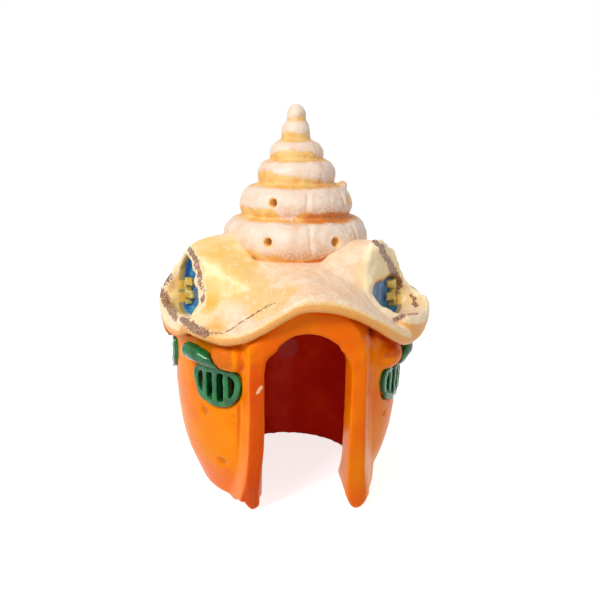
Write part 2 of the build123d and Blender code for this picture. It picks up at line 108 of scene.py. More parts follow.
ROOF_HEART = (0.0, 66.0, 21.0)  # where the mouths end inside the roof, as (across, height, out)

# Each mouth: stations round the window, from its top over the side nearest the door to the sill and back up.
# A station gives the inner edge, the crest of the rim, its outer face and its root, as (across, height, out).
LEFT_MOUTH = (
    ((-3.5, 74.2, 35.0), (-3.2, 76.2, 36.0), (-2.0, 79.4, 32.6), (1, 81.5, 22)),
    ((1.0, 72.8, 35.4), (2.2, 74.6, 36.0), (5.0, 76.4, 32.6), (13, 73.2, 20)),
    ((4.4, 69.0, 35.8), (6.4, 70.0, 36.2), (9.6, 71.2, 32.6), (19.5, 69.0, 22)),
    ((6.0, 64.6, 36.1), (8.2, 64.8, 36.2), (11.2, 65.4, 33.4), (19, 65.2, 27)),
    ((6.4, 60.2, 36.6), (9.0, 60.4, 37.4), (11.4, 58.6, 37.0), (16, 61, 29)),
    ((2.6, 57.0, 37.0), (6.0, 56.6, 42.4), (7.0, 52.9, 42.0), (8, 56, 31)),
    ((-2.6, 56.2, 37.0), (-2.5, 57.0, 43.4), (-2.5, 53.2, 43.0), (-2, 55, 31)),
    ((-7.0, 57.6, 36.8), (-8.6, 59.6, 43.2), (-9.0, 54.8, 42.0), (-8, 56, 31)),
    ((-8.6, 61.8, 36.4), (-11.6, 63.0, 42.2), (-12.4, 58.0, 40.2), (-11, 60, 30)),
    ((-8.6, 66.6, 36.0), (-10.4, 67.6, 38.8), (-12.6, 65.5, 36.2), (-13, 66, 28)),
    ((-7.0, 71.6, 35.5), (-8.4, 72.6, 36.6), (-9.6, 74.5, 33.0), (-9, 77, 25)),
)
RIGHT_MOUTH = (
    ((-0.5, 68.6, 32.0), (-4.5, 80.0, 31.4), (-4.8, 80.4, 28.5), (-5, 79.6, 20)),
    ((3.8, 69.2, 32.2), (5.5, 76.0, 31.6), (6.0, 77.5, 28.5), (8, 77, 22)),
    ((8.0, 67.6, 32.4), (9.8, 70.6, 33.0), (11.5, 71.5, 29.5), (14, 71, 23)),
    ((9.5, 64.6, 32.8), (9.8, 66.2, 35.6), (14.0, 66.0, 32.0), (16, 66, 26)),
    ((9.5, 60.8, 33.6), (9.4, 64.2, 39.5), (14.0, 59.0, 38.0), (15, 60, 28)),
    ((6.0, 58.0, 34.6), (8.4, 63.2, 44.0), (11.0, 57.0, 43.6), (11, 56, 30)),
    ((0.5, 57.6, 35.0), (6.0, 60.0, 45.8), (6.5, 54.0, 44.8), (2, 55, 30)),
    ((-5.5, 59.0, 34.0), (-2.0, 58.6, 44.8), (-1.0, 52.2, 43.6), (-5, 56, 30)),
    ((-10.2, 62.0, 32.6), (-11.2, 62.8, 35.2), (-12.5, 60.0, 34.0), (-13, 62, 28)),
    ((-8.8, 65.2, 32.0), (-10.7, 66.3, 32.6), (-13.5, 67.4, 30.5), (-19, 70.8, 24)),
    ((-5.6, 68.2, 32.0), (-8.8, 73.0, 31.4), (-11.6, 74.6, 27.5), (-16, 73.3, 18)),
)
MOUTHS = {"left": LEFT_MOUTH, "right": RIGHT_MOUTH, "rear": LEFT_MOUTH}
PANE_COVER = 0.9  # how far the mantle lies behind each pane's face
SLAT_SHARE = {"left": 0.4, "right": 0.45, "rear": 0.9}  # how much of their length the slats keep
# Azimuth and middle height of each window
WINDOWS = {
    "front_left": (-39, 39.2), "side_left": (-88, 43.2), "rear_left": (-140, 40.2),
    "rear": (167, 35.2), "side_right": (113, 39.2), "front_right": (60, 36.2),
}
# Bubble ports: azimuth and height
PORTS = (
    (-26, 79.9), (26.5, 79.9), (90, 79.9), (154, 79.9), (-154, 79.9), (-90, 79.9),
    (-28, 90.9), (62, 90.9), (152, 90.9), (-118, 90.9),
)


# ---------------------------------------------------------------- mesh tools

def cast(node, voxel, rounding, name=None, mesh=None):
    """A moulded skin over one solid: even cells of the given size in mm, with the corners worn round."""
    skin = bpy.data.objects.new(name or node + "_skin", mesh or frame["nodes"][node].data.copy())
    bpy.context.scene.collection.objects.link(skin)
    cells = skin.modifiers.new("cells", "REMESH")
    cells.mode = "VOXEL"
    cells.voxel_size = voxel * MM
    relax = skin.modifiers.new("rounding", "SMOOTH")
    relax.factor = 0.5
    relax.iterations = rounding
    skin.data = bpy.data.meshes.new_from_object(skin.evaluated_get(bpy.context.evaluated_depsgraph_get()))
    skin.modifiers.clear()
    skin.data.materials.clear()
    skin.data.polygons.foreach_set("use_smooth", np.ones(len(skin.data.polygons), bool))
    body = frame["nodes"][node]["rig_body"]
    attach(skin, body)
    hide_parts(node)
    return skin


def points_of(skin):
    """Every vertex of a skin, in mm."""
    spots = np.empty(len(skin.data.vertices) * 3)
    skin.data.vertices.foreach_get("co", spots)
    return spots.reshape(-1, 3) / MM


def normals_of(skin):
    """The direction each vertex of a skin faces."""
    directions = np.empty(len(skin.data.vertices) * 3)
    skin.data.vertices.foreach_get("normal", directions)
    return directions.reshape(-1, 3)


def reshape(skin, spots):
    """Puts a skin's vertices where the points are, in mm."""
    skin.data.vertices.foreach_set("co", (spots * MM).ravel())
    skin.data.update()


def swell(skin, height):
    """Moves the surface out along its normals by height, in mm."""
    spots = points_of(skin) + normals_of(skin) * height[:, None]
    spots[:, 2] = np.maximum(spots[:, 2], 0.0)
    reshape(skin, spots)


def mark(skin, name, amount):
    """Keeps one painted mask, 0 to 1, on the vertices."""
    made = skin.data.attributes.new(name, "FLOAT", "POINT")
    made.data.foreach_set("value", np.clip(amount, 0, 1).astype(np.float32))


def lumps(spots, size, seed=0):
    """A smooth uneven field over the points, -1 to 1, with bumps of the given size in mm.

    Each seed gives a field of its own, the same at every run."""
    place = spots / size + seed * 17.31
    cell = np.floor(place)
    part = place - cell
    part = part * part * (3 - 2 * part)
    total = np.zeros(len(spots))
    for corner in itertools.product((0, 1), repeat=3):
        step = np.array(corner)
        value = np.sin((cell + step) @ (127.1, 311.7, 74.7)) * 43758.5453
        weight = np.where(step == 1, part, 1 - part).prod(axis=1)
        total += weight * (value - np.floor(value))
    return total * 2 - 1


def ease(value, low, high):
    """0 at low, 1 at high, smooth between; low may be above high."""
    t = np.clip((value - low) / (high - low), 0, 1)
    return t * t * (3 - 2 * t)


def azimuth(spots, centre_x=0.0):
    """Where each point lies round an upright axis, in degrees from the door towards the right."""
    return np.degrees(np.arctan2(spots[:, 0] - centre_x, -spots[:, 1]))


def turn_from(spots, angle, centre_x=0.0):
    """How far round each point is from an azimuth, in degrees, -180 to 180."""
    return (azimuth(spots, centre_x) - angle + 180) % 360 - 180


def round_to(spots, radius, angle, centre_x=0.0):
    """How far round each point is from an azimuth, in mm along its own radius."""
    return turn_from(spots, angle, centre_x) * math.radians(1) * radius


def behind_porch(spots):
    """How far each point is behind the porch's leaning front, in mm."""
    return spots[:, 1] + PORCH_FRONT + PORCH_LEAN * spots[:, 2]


def from_line(spots, line):
    """The distance of each point from a broken line, in mm."""
    line = np.array(line, float)
    best = np.full(len(spots), 1e9)
    for start, end in zip(line[:-1], line[1:]):
        run = end - start
        along = np.clip((spots - start) @ run / max(run @ run, 1e-9), 0, 1)
        best = np.minimum(best, np.linalg.norm(spots - start - along[:, None] * run, axis=1))
    return best


def smooth_through(points, steps, closed=False):
    """Rows of points with a smooth curve run through them, along the first axis."""
    points = np.asarray(points, float)
    count = len(points)
    spans = count if closed else count - 1
    index = (lambda i: i % count) if closed else (lambda i: min(max(i, 0), count - 1))
    made = []
    for i in range(spans):
        before, start, end, after = (points[index(i + k)] for k in (-1, 0, 1, 2))
        slope, bend, twist = (
            end - before, 2 * before - 5 * start + 4 * end - after, 3 * start - before - 3 * end + after)
        for t in np.arange(steps) / steps:
            made.append(0.5 * (2 * start + slope * t + bend * t * t + twist * t ** 3))
    if not closed:
        made.append(points[-1])
    return np.array(made)


def grid_mesh(name, grid, caps=False):
    """A closed mesh over a grid of points in mm, whose rows close on themselves or end in caps."""
    around, along = grid.shape[:2]
    faces = []
    for i in range(around):
        following = (i + 1) % around
        for j in range(along - 1 if caps else along):
            after = (j + 1) % along
            faces.append(
                (i * along + j, following * along + j, following * along + after, i * along + after))
    if caps:
        faces.append([i * along for i in range(around)][::-1])
        faces.append([i * along + along - 1 for i in range(around)])
    mesh = bpy.data.meshes.new(name)
    mesh.from_pydata((grid.reshape(-1, 3) * MM).tolist(), [], faces)
    return mesh


def joined(name, meshes):
    """One mesh holding several."""
    verts, faces = [], []
    for mesh in meshes:
        first = len(verts)
        verts += [tuple(v.co) for v in mesh.vertices]
        faces += [[first + k for k in f.vertices] for f in mesh.polygons]
    whole = bpy.data.meshes.new(name)
    whole.from_pydata(verts, [], faces)
    return whole


def srgb(red, green, blue):
    """A paint colour from its screen values, 0 to 255."""
    linear = [((c / 255 + 0.055) / 1.055) ** 2.4 if c > 10 else c / 255 / 12.92 for c in (red, green, blue)]
    return (*linear, 1.0)


class Tree:
    """Short ways to lay nodes in one material or group."""

    def __init__(self, tree):
        self.tree = tree

    def node(self, kind, **settings):
        """A shader node of one kind, with its settings."""
        made = self.tree.nodes.new("ShaderNode" + kind)
        for key, value in settings.items():
            setattr(made, key, value)
        return made

    def feed(self, socket, value):
        """Links a socket to another, or gives it a plain value."""
        if isinstance(value, bpy.types.NodeSocket):
            self.tree.links.new(value, socket)
        else:
            socket.default_value = value

    def math(self, operation, first, second, clamp=False):
        """One calculation on two values."""
        made = self.node("Math", operation=operation, use_clamp=clamp)
        self.feed(made.inputs[0], first)
        self.feed(made.inputs[1], second)
        return made.outputs[0]

    def share(self, value, amount):
        """The two multiplied."""
        return self.math("MULTIPLY", value, amount)

    def plus(self, value, amount):
        """The two added."""
        return self.math("ADD", value, amount)

    def scaled(self, low, high, value):
        """0 where value is low, 1 where it is high."""
        made = self.node("MapRange", interpolation_type="SMOOTHSTEP")
        self.feed(made.inputs["Value"], value)
        made.inputs["From Min"].default_value = low
        made.inputs["From Max"].default_value = high
        return made.outputs[0]

    def coat_of(self, under, colour, mask):
        """One coat of paint over another, where the mask is."""
        made = self.node("Mix", data_type="RGBA")
        self.feed(made.inputs[0], mask)
        self.feed(made.inputs[6], under)
        self.feed(made.inputs[7], colour)
        return made.outputs[2]

    def place(self):
        """Position in the object's own frame, in mm."""
        where = self.node("TexCoord").outputs["Object"]
        made = self.node("VectorMath", operation="SCALE")
        self.feed(made.inputs[0], where)
        made.inputs["Scale"].default_value = 1000
        return made.outputs[0]

    def noise(self, scale, detail=3.0, roughness=0.55):
        """An uneven field, 0 to 1, with this many swings in a mm."""
        made = self.node("TexNoise")
        self.feed(made.inputs["Vector"], self.place())
        self.feed(made.inputs["Scale"], scale)
        made.inputs["Detail"].default_value = detail
        made.inputs["Roughness"].default_value = roughness
        return made.outputs["Fac"]

    def cells(self, scale):
        """The distance from each point to its nearest cell's middle."""
        made = self.node("TexVoronoi", feature="F1")
        self.feed(made.inputs["Vector"], self.place())
        made.inputs["Scale"].default_value = scale
        return made.outputs["Distance"]

    def mask(self, name):
        """A mask that was kept with mark()."""
        return self.node("Attribute", attribute_name=name).outputs["Fac"]


def effect(name, inputs, *outputs):
    """An empty shader group with named values going in and out, a Tree for it, and both ends' sockets."""
    group = bpy.data.node_groups.new(name, "ShaderNodeTree")
    for label, value in inputs.items():
        socket = group.interface.new_socket(label, in_out="INPUT", socket_type="NodeSocketFloat")
        socket.default_value = value
    for label in outputs:
        group.interface.new_socket(label, in_out="OUTPUT", socket_type="NodeSocketFloat")
    given, result = group.nodes.new("NodeGroupInput"), group.nodes.new("NodeGroupOutput")
    return group, Tree(group), given.outputs, result.inputs


def ragged_edge():
    """A painted mask with its edge broken up the way a brush leaves it on a rough casting."""
    group, tree, given, result = effect(
        "ragged_edge", {"Mask": 0.0, "Size": 0.8, "Rag": 0.6, "Hardness": 4.0}, "Mask")
    patch = tree.noise(given["Size"], 4.0, 0.65)
    wander = tree.share(tree.math("SUBTRACT", patch, 0.5), tree.share(given["Rag"], 2.0))
    level = tree.math("SUBTRACT", tree.plus(given["Mask"], wander), 0.5)
    sharp = tree.math("ADD", tree.share(level, given["Hardness"]), 0.5, clamp=True)
    gate = tree.math("MULTIPLY", given["Mask"], 6.0, clamp=True)
    tree.feed(result["Mask"], tree.share(sharp, gate))
    return group


def cast_surface():
    """The fine unevenness of poured resin: slow ripples, a little grain and pin holes."""
    group, tree, given, result = effect("cast_surface", {"Ripple": 1.0, "Grain": 1.0, "Pores": 1.0}, "Height")
    ripple = tree.share(tree.noise(0.22, 2.0), given["Ripple"])
    grain = tree.share(tree.noise(2.2, 4.0, 0.7), tree.share(given["Grain"], 0.12))
    dot = tree.scaled(0.16, 0.05, tree.cells(0.45))
    rare = tree.scaled(0.62, 0.7, tree.noise(0.1, 1.0))
    pore = tree.share(tree.share(dot, rare), given["Pores"])
    tree.feed(result["Height"], tree.math("SUBTRACT", tree.plus(ripple, grain), tree.share(pore, 0.5)))
    return group


def dry_brushing():
    """Pale pigment dragged over a rough surface, and the dark specks left in its low spots."""
    group, tree, given, result = effect("dry_brushing", {"Cover": 0.5, "Size": 0.5}, "Pale", "Specks")
    broad = tree.noise(tree.share(given["Size"], 0.35), 2.0)
    fine = tree.noise(tree.share(given["Size"], 3.0), 5.0, 0.75)
    both = tree.plus(tree.share(broad, 0.6), tree.share(fine, 0.4))
    level = tree.plus(tree.math("SUBTRACT", both, 1.0), given["Cover"])
    tree.feed(result["Pale"], tree.math("ADD", tree.share(level, 4.0), 0.5, clamp=True))
    low = tree.noise(tree.share(given["Size"], 4.5), 3.0, 0.6)
    tree.feed(result["Specks"], tree.scaled(0.56, 0.68, low))
    return group


RAGGED = ragged_edge()
SURFACE = cast_surface()
BRUSHING = dry_brushing()


def use(tree, group, **inputs):
    """Places an effect in a material, with its own values."""
    made = tree.tree.nodes.new("ShaderNodeGroup")
    made.node_tree = group
    for key, value in inputs.items():
        tree.feed(made.inputs[key], value)
    return made


def finish(name, roughness, **plain):
    """A material with its shader's own values, and a Tree to lay its nodes in."""
    material = bpy.data.materials.new(name)
    material.use_nodes = True
    shader = material.node_tree.nodes["Principled BSDF"]
    shader.inputs["Roughness"].default_value = roughness
    for key, value in plain.items():
        shader.inputs[key.replace("_", " ")].default_value = value
    return material, Tree(material.node_tree), shader


def bumped(tree, shader, height, depth):
    """Feeds a height, where 1 is depth in mm, to the shader's normal."""
    made = tree.node("Bump")
    made.inputs["Distance"].default_value = depth * MM
    made.inputs["Strength"].default_value = 1.0
    tree.feed(made.inputs["Height"], height)
    tree.feed(shader.inputs["Normal"], made.outputs[0])


def cast_bumps(tree, shader, depth, ripple, grain, pores):
    """The casting's own unevenness, where 1 is depth in mm."""
    surface = use(tree, SURFACE, Ripple=ripple, Grain=grain, Pores=pores)
    bumped(tree, shader, surface.outputs["Height"], depth)


def uneven_gloss(tree, shader, size, detail, spread, least):
    """Roughness that wanders up from the least by the spread."""
    wander = tree.share(tree.noise(size, detail), spread)
    tree.feed(shader.inputs["Roughness"], tree.plus(wander, least))


def ragged(tree, name, size, rag, hardness):
    """A painted mask with a ragged edge: the size of its tears, how far they reach, and how sharp it is."""
    return use(tree, RAGGED, Mask=tree.mask(name), Size=size, Rag=rag, Hardness=hardness).outputs["Mask"]


def dabbed(tree, under, paint, name, size, rag, hardness, cover=1.0):
    """A coat of paint over another where a mask is. Its edge is as ragged_edge makes it."""
    where = ragged(tree, name, size, rag, hardness)
    return tree.coat_of(under, paint, where if cover == 1.0 else tree.share(where, cover))


def orange_gloss():
    """Thick orange enamel outside; the casting's dark red inside is painted shade, with a faint painted glow.
    """
    material, tree, shader = finish(
        "orange_enamel", 0.3, Coat_Weight=0.06, Coat_Roughness=0.1, Specular_IOR_Level=0.05)
    colour = tree.coat_of(srgb(250, 116, 0), srgb(255, 148, 2), tree.scaled(0.3, 0.7, tree.noise(0.05, 3.0)))
    blotch = tree.share(tree.scaled(0.55, 0.8, tree.noise(0.6, 4.0)), 0.2)
    colour = tree.coat_of(colour, srgb(232, 92, 0), blotch)
    # painted shade: the dark red inside the house
    red = tree.coat_of(srgb(200, 40, 22), srgb(232, 72, 30), tree.scaled(0.35, 0.7, tree.noise(0.07, 3.0)))
    # painted light: a pale patch inside, where light shows through the thin wall at a window
    red = dabbed(tree, red, srgb(206, 130, 140), "light_through_wall", 0.3, 0.2, 2.0, 0.6)
    colour = dabbed(tree, colour, red, "inside", 0.4, 0.12, 5.0)
    # painted shade on the porch's front faces
    colour = tree.coat_of(colour, srgb(210, 64, 0), tree.share(tree.mask("porch"), 0.8))
    colour = dabbed(tree, colour, srgb(196, 72, 30), "shade", 0.5, 0.3, 2.5, 0.55)
    # painted shade in the casting pits
    colour = dabbed(tree, colour, srgb(160, 62, 18), "pit", 1.4, 0.6, 2.0, 0.35)
    # painted shade on the floors of the window recesses
    colour = dabbed(tree, colour, srgb(150, 66, 26), "hollow", 0.9, 0.2, 4.0)
    colour = dabbed(tree, colour, srgb(8, 16, 12), "hole", 0.9, 0.15, 5.0)
    colour = dabbed(tree, colour, srgb(244, 200, 160), "chip", 1.6, 0.8, 4.0, 0.85)
    tree.feed(shader.inputs["Base Color"], colour)
    # painted glow on the inside of the house, though no lamp is there
    shader.inputs["Emission Color"].default_value = srgb(190, 24, 10)
    tree.feed(shader.inputs["Emission Strength"], tree.share(tree.mask("inside"), 0.1))
    gloss = tree.plus(tree.share(tree.noise(0.3, 4.0), 0.2), 0.2)
    tree.feed(shader.inputs["Roughness"], tree.plus(gloss, tree.share(tree.mask("inside"), 0.35)))
    cast_bumps(tree, shader, depth=0.12, ripple=1.0, grain=0.5, pores=0.5)
    return material


def shell_wash():
    """Cream and yellow washes over the shell roof, with umber dabs along its rims and amber on the faces that
    turn down, partly base colour and partly painted shade.
    """
    material, tree, shader = finish("shell_wash", 0.42, Coat_Weight=0.16, Coat_Roughness=0.2)
    tone = tree.scaled(0.35, 0.65, tree.noise(0.09, 3.0))
    colour = tree.coat_of(srgb(252, 212, 136), srgb(254, 228, 178), tone)
    brushed = use(tree, BRUSHING, Cover=tree.plus(tree.share(tree.mask("dust"), 0.85), 0.1), Size=0.5)
    blush = tree.scaled(0.38, 0.64, tree.noise(0.28, 5.0, 0.7))
    blush = tree.coat_of(srgb(250, 208, 168), srgb(254, 228, 198), blush)
    colour = tree.coat_of(colour, blush, brushed.outputs["Pale"])
    colour = dabbed(tree, colour, srgb(240, 190, 84), "pool", 0.4, 0.7, 1.6, 0.65)
    colour = dabbed(tree, colour, srgb(246, 176, 44), "deep", 0.4, 0.6, 1.2, 0.8)
    wear = tree.share(tree.scaled(0.5, 0.62, tree.noise(0.35, 5.0, 0.75)), 0.6)
    colour = tree.coat_of(colour, srgb(246, 226, 190), tree.share(wear, tree.mask("pool")))
    # amber on downward faces: partly the base colour, partly painted shade
    colour = dabbed(tree, colour, srgb(238, 156, 48), "amber", 0.5, 0.35, 1.3, 0.85)
    specks = tree.share(brushed.outputs["Specks"], tree.mask("grime"))
    colour = tree.coat_of(colour, srgb(150, 100, 60), tree.share(specks, 0.7))
    colour = dabbed(tree, colour, srgb(255, 236, 196), "rim", 0.8, 0.5, 2.5, 0.7)
    colour = dabbed(tree, colour, srgb(150, 140, 70), "jamb", 0.6, 0.35, 3.0, 0.8)
    blue = tree.coat_of(srgb(44, 116, 196), srgb(90, 172, 190), tree.scaled(0.42, 0.6, tree.noise(0.35, 3.0)))
    colour = dabbed(tree, colour, blue, "teal", 0.7, 0.3, 4.0)
    colour = dabbed(tree, colour, srgb(244, 196, 76), "bars", 0.9, 0.35, 4.0)
    thin = tree.scaled(0.42, 0.68, tree.noise(1.9, 4.0))
    umber = tree.coat_of(srgb(104, 52, 42), srgb(186, 134, 110), thin)
    colour = dabbed(tree, colour, umber, "umber", 1.7, 1.9, 5.0, 0.9)
    tree.feed(shader.inputs["Base Color"], colour)
    uneven_gloss(tree, shader, size=0.5, detail=4.0, spread=0.25, least=0.28)
    cast_bumps(tree, shader, depth=0.24, ripple=1.6, grain=2.4, pores=1.0)
    return material


def spire_wash():
    """Pink-cream dry-brushing over the whorls, with amber in the creases: partly the base colour left bare,
    partly painted shade.
    """
    material, tree, shader = finish(
        "spire_wash", 0.5, Coat_Weight=0.06, Coat_Roughness=0.25, Specular_IOR_Level=0.35)
    tone = tree.scaled(0.35, 0.62, tree.noise(0.14, 3.0))
    colour = tree.coat_of(srgb(236, 194, 160), srgb(243, 214, 188), tone)
    colour = tree.coat_of(colour, srgb(250, 214, 192), tree.share(tree.mask("blush"), 0.6))
    brushed = use(tree, BRUSHING, Cover=tree.plus(tree.share(tree.mask("dust"), 0.42), 0.14), Size=0.7)
    colour = tree.coat_of(colour, srgb(246, 224, 206), brushed.outputs["Pale"])
    # amber in the creases: partly the bare base colour, partly painted shade
    amber = tree.coat_of(srgb(246, 204, 126), srgb(240, 180, 88), tree.scaled(0.4, 0.6, tree.noise(0.2, 3.0)))
    colour = dabbed(tree, colour, amber, "amber", 0.8, 0.55, 2.0, 0.95)
    # darker red-orange in the creases on the right side
    colour = dabbed(tree, colour, srgb(222, 120, 44), "red_in_right_creases", 0.8, 0.5, 2.4, 0.85)
    mottle = tree.share(tree.scaled(0.47, 0.56, tree.noise(1.3, 5.0, 0.75)), tree.mask("mottle"))
    colour = tree.coat_of(colour, srgb(226, 146, 84), tree.share(mottle, 0.75))
    specks = tree.share(brushed.outputs["Specks"], tree.mask("grime"))
    colour = tree.coat_of(colour, srgb(160, 102, 74), tree.share(specks, 0.85))
    colour = dabbed(tree, colour, srgb(250, 206, 140), "port", 1.0, 0.3, 3.0, 0.9)
    tree.feed(shader.inputs["Base Color"], colour)
    # painted glow at the bubble ports, though no lamp is there
    shader.inputs["Emission Color"].default_value = srgb(240, 184, 110)
    tree.feed(shader.inputs["Emission Strength"], tree.share(tree.mask("port"), 0.06))
    uneven_gloss(tree, shader, size=0.7, detail=4.0, spread=0.3, least=0.32)
    coarse = tree.plus(tree.share(tree.mask("grime"), 7.0), 1.5)
    cast_bumps(tree, shader, depth=0.22, ripple=1.4, grain=coarse, pores=1.0)
    return material


def green_enamel():
    """Thick glossy green paint, with painted shade, near black, at its back between the bars."""
    material, tree, shader = finish(
        "green_enamel", 0.2, Coat_Weight=0.6, Coat_Roughness=0.03, Specular_IOR_Level=0.15)
    colour = tree.coat_of(srgb(0, 84, 40), srgb(0, 124, 60), tree.scaled(0.3, 0.7, tree.noise(0.35, 3.0)))
    # painted shade: the back of the grille between its bars
    colour = dabbed(tree, colour, srgb(4, 26, 18), "back_shade", 0.9, 0.25, 4.0)
    colour = dabbed(tree, colour, srgb(190, 84, 34), "bare", 0.9, 0.4, 4.0, 0.85)
    tree.feed(shader.inputs["Base Color"], colour)
    uneven_gloss(tree, shader, size=0.8, detail=3.0, spread=0.2, least=0.08)
    cast_bumps(tree, shader, depth=0.25, ripple=2.5, grain=2.0, pores=0.0)
    return material


def pane_blue():
    """Blue window paint, streaked with teal."""
    material, tree, shader = finish("pane_blue", 0.3, Coat_Weight=0.3, Coat_Roughness=0.15)
    streak = tree.scaled(0.4, 0.62, tree.noise(0.4, 4.0))
    colour = tree.coat_of(srgb(40, 104, 182), srgb(78, 156, 206), streak)
    colour = tree.coat_of(colour, srgb(20, 72, 128), tree.scaled(0.6, 0.75, tree.noise(0.8, 3.0)))
    tree.feed(shader.inputs["Base Color"], colour)
    cast_bumps(tree, shader, depth=0.2, ripple=2.0, grain=3.0, pores=0.0)
    return material


def slat_yellow():
    """Yellow painted bars, worn brown in places."""
    material, tree, shader = finish("slat_yellow", 0.35, Coat_Weight=0.25, Coat_Roughness=0.2)
    tone = tree.scaled(0.35, 0.65, tree.noise(0.4, 3.0))
    colour = tree.coat_of(srgb(214, 176, 66), srgb(232, 206, 118), tone)
    brown = tree.share(tree.scaled(0.5, 0.68, tree.noise(1.2, 4.0)), 0.7)
    colour = tree.coat_of(colour, srgb(140, 118, 52), brown)
    tree.feed(shader.inputs["Base Color"], colour)
    cast_bumps(tree, shader, depth=0.2, ripple=2.0, grain=3.0, pores=0.0)
    return material


def clear_tube():
    """Slightly cloudy clear plastic tube."""
    material, tree, shader = finish("clear_tube", 0.15, Transmission_Weight=0.85, IOR=1.45)
    cloud = tree.scaled(0.3, 0.7, tree.noise(0.15, 2.0))
    tree.feed(shader.inputs["Base Color"], tree.coat_of(srgb(214, 228, 224), srgb(236, 242, 240), cloud))
    uneven_gloss(tree, shader, size=1.5, detail=3.0, spread=0.15, least=0.1)
    cast_bumps(tree, shader, depth=0.05, ripple=0.4, grain=0.6, pores=0.0)
    return material


def plain_plastic(name, dark, light, roughness):
    """Moulded plastic or rubber with a fine mould texture."""
    material, tree, shader = finish(name, roughness)
    tone = tree.scaled(0.3, 0.7, tree.noise(0.5, 4.0))
    tree.feed(shader.inputs["Base Color"], tree.coat_of(dark, light, tone))
    uneven_gloss(tree, shader, size=1.2, detail=3.0, spread=0.2, least=roughness - 0.1)
    cast_bumps(tree, shader, depth=0.05, ripple=0.6, grain=3.0, pores=0.0)
    return material


def sintered_stone():
    """Bonded mineral grains, pale blue-grey, open between the grains."""
    material, tree, shader = finish("sintered_stone", 0.9)
    grains = tree.cells(1.6)
    colour = tree.coat_of(srgb(96, 116, 132), srgb(176, 190, 200), tree.scaled(0.6, 0.1, grains))
    colour = tree.coat_of(colour, srgb(210, 214, 214), tree.scaled(0.62, 0.75, tree.noise(1.0, 3.0)))
    tree.feed(shader.inputs["Base Color"], colour)
    bumped(tree, shader, tree.scaled(0.6, 0.0, grains), 0.4)
    return material


# ---------------------------------------------------------------- house

# Casting pits: azimuth, height, size and depth
PITS = (
    (-48, 29.8, 2.3, 0.5), (-40, 14.0, 2.3, 0.6), (-70.5, 12.4, 0.8, 0.3), (53, 26.3, 1.5, 0.4),
    (-30, 31, 0.9, 0.3), (100, 22, 1.4, 0.4), (150, 30, 1.5, 0.4),
)
CHIP = ((-13.9, -39.0, 40.9), (-12.8, -38.8, 42.6))  # the chip in the left jamb's enamel
# Porch feet: middle and half width across; how far the inner and outer corners are worn up; how far
# back the inner wear goes
LEFT_FOOT = (-14.7, 2.9, 1.6, 2.6, 2.0)
RIGHT_FOOT = (15.95, 3.45, 6.0, 3.2, 12.0)
FEET_REACH = 13.0  # the wear is spread over the jambs up to this height
LEFT_JAMB = -12.5
LEFT_LEAN = 1.2  # how far its foot leans out
RIGHT_KICK = 1.8  # how far the right foot stands forward


def round_feet(spots):
    """Wears the porch's two feet round, leans the left one out and kicks the right one forward."""
    lift = np.zeros(len(spots))
    behind = behind_porch(spots)
    for middle, half, inner, outer, deep in (LEFT_FOOT, RIGHT_FOOT):
        across = (spots[:, 0] - middle) / half * math.copysign(1, middle)
        corner = np.where(across < 0, inner * ease(behind, deep + 6, deep), outer * ease(behind, 8, 2))
        corner *= np.clip(abs(across), 0, 1) ** 2.3
        lift = np.where(spots[:, 0] * middle > 0, corner, lift)
    lift += 0.6 * ease(behind, 1.2, 0.0) ** 2
    leaning = ease(abs(spots[:, 0] - LEFT_JAMB), 2.6, 1.0) * ease(behind, 10, 5)
    spots[:, 0] -= LEFT_LEAN * leaning * ease(spots[:, 2], 28, 4)
    kicked = ease(abs(spots[:, 0] - RIGHT_FOOT[0]), 6.5, 4.5) * ease(behind, 10, 4)
    spots[:, 1] -= RIGHT_KICK * kicked * ease(spots[:, 2], 18, 0)
    low = spots[:, 2] < FEET_REACH
    spots[low, 2] = (lift + spots[:, 2] * (FEET_REACH - lift) / FEET_REACH)[low]
    return spots


def casting_pits(spots, from_axis):
    """Where the pits are, and the height they take off, with a low ring thrown up round each."""
    pit, height = np.zeros(len(spots)), np.zeros(len(spots))
    for angle, z, size, depth in PITS:
        far = np.hypot(round_to(spots, from_axis, angle, BARREL_X), spots[:, 2] - z)
        far = np.where(from_axis > 30, far, 99) + lumps(spots, 1.5, 5) * 0.4
        dent = ease(far, size, size * 0.2)
        pit = np.maximum(pit, dent)
        ring = ease(far, size * 1.7, size * 1.1) * ease(far, size * 0.7, size * 1.1)
        height = height - dent * depth + ring * depth * 0.3
    return pit, height


def window_floors(spots, from_axis, away):
    """The floors of the window recesses, and the dark part of each behind its grille's bars."""
    hollow, hole = np.zeros(len(spots)), np.zeros(len(spots))
    for angle, middle in WINDOWS.values():
        across = round_to(spots, from_axis, angle, BARREL_X)
        bed = ease(abs(across), 8.0, 7.0) * ease(abs(spots[:, 2] - middle), 6.6, 5.6)
        bed *= ease(away, 0.2, 0.6) * ease(from_axis, 35.8, 35.0)
        hollow = np.maximum(hollow, bed)
        hole = np.maximum(hole, bed * ease(abs(across), 5.2, 4.2))
    return hollow, hole


